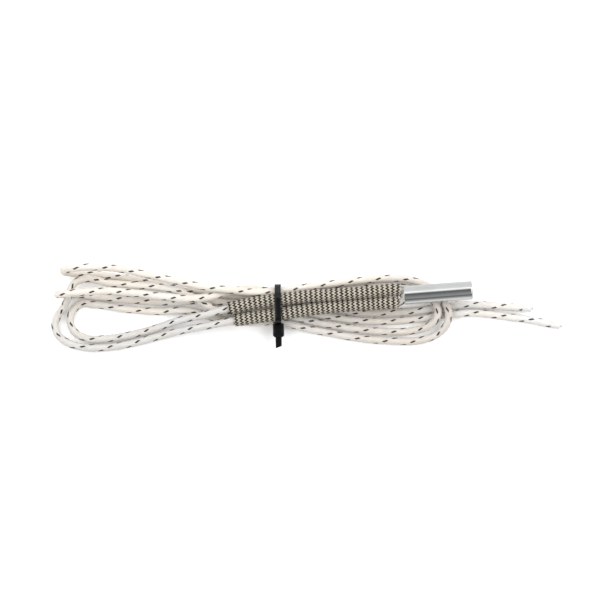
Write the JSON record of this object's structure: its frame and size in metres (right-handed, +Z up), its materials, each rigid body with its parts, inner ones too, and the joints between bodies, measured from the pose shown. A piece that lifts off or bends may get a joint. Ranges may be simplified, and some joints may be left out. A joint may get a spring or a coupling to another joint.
{
  "type": "cartridge heater",
  "caption": "Steel cartridge heater that slides into a drilled hole, with braided glass-fibre leads in herringbone sleeves, folded into a tied hank.",
  "frame": {"origin": "middle of the sheath's open mouth, on its axis", "axes": "+X along the sheath's axis towards its closed tip, +Z up from the table on which the hank lies, +Y across"},
  "size_m": [0.165, 0.0343, 0.0119],
  "materials": {
    "sheath_steel": "polished drawn stainless steel",
    "weld_steel": "welded stainless steel, slightly domed",
    "core_ceramic": "unglazed ceramic",
    "resistance_wire": "oxidised resistance wire",
    "magnesia": "compacted powder",
    "pin_nickel": "drawn nickel",
    "ferrule_brass": "crimped brass",
    "conductor": "plated strands",
    "seal_cement": "set cement",
    "lead_braid": "white braided glass fibre with dark tracer yarns",
    "sleeve_braid": "dark and cream herringbone glass-fibre braid",
    "inner_wrap": "bared inner glass-fibre wrap",
    "tie_nylon": "moulded black nylon"
  },
  "bodies": {
    "root": {"sheath": "sheath_steel", "end_disc": "weld_steel", "base_cap": "core_ceramic", "ceramic_core": "core_ceramic", "resistance_coil": "resistance_wire", "magnesia_fill": "magnesia", "terminal_pin_long": "pin_nickel", "terminal_pin_short": "pin_nickel", "core_cap": "core_ceramic", "splice_ferrule_a": "ferrule_brass", "splice_ferrule_b": "ferrule_brass", "conductor_root_a": "conductor", "conductor_root_b": "conductor", "cement_seal": "seal_cement", "lead_a": "lead_braid", "lead_b": "lead_braid", "sleeve_a": "sleeve_braid", "sleeve_b": "sleeve_braid", "lead_wrap_a": "inner_wrap", "lead_wrap_b": "inner_wrap", "strand_end_a": "conductor", "strand_end_b": "conductor", "cable_tie": "tie_nylon"}
  },
  "joints": []
}
